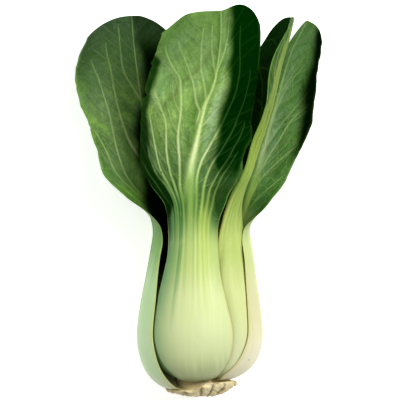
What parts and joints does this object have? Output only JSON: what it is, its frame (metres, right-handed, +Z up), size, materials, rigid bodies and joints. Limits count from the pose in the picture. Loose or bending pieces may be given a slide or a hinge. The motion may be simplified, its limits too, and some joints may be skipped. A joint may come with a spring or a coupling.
{
  "type": "bok choy head",
  "caption": "Whole head of small bok choy lying on its back: fleshy pale stalks wrapped into a round bulb over a cut butt, spreading into thin waved green blades.",
  "frame": {"origin": "centre of the bounding box's bottom face, on the surface the head lies on", "axes": "+Y along the head from the cut butt to the leaf tips, +Z up out of the surface, through the front leaf's outer face, +X to the right seen from above with the tips pointing away"},
  "size_m": [0.1271, 0.1932, 0.0624],
  "materials": {
    "stalk": "waxy, smooth",
    "blade": "waxy, veined",
    "butt": "dry cut plant tissue"
  },
  "bodies": {
    "root": {"butt": "butt", "left_stalk": "stalk", "left_blade": "blade", "right_stalk": "stalk", "right_blade": "blade", "front_stalk": "stalk", "front_blade": "blade", "back_stalk": "stalk", "back_blade": "blade", "rightFront_stalk": "stalk", "rightFront_blade": "blade", "innerLeft_stalk": "stalk", "innerLeft_blade": "blade", "innerRight_stalk": "stalk", "innerRight_blade": "blade", "innerBack_stalk": "stalk", "innerBack_blade": "blade"}
  },
  "joints": []
}
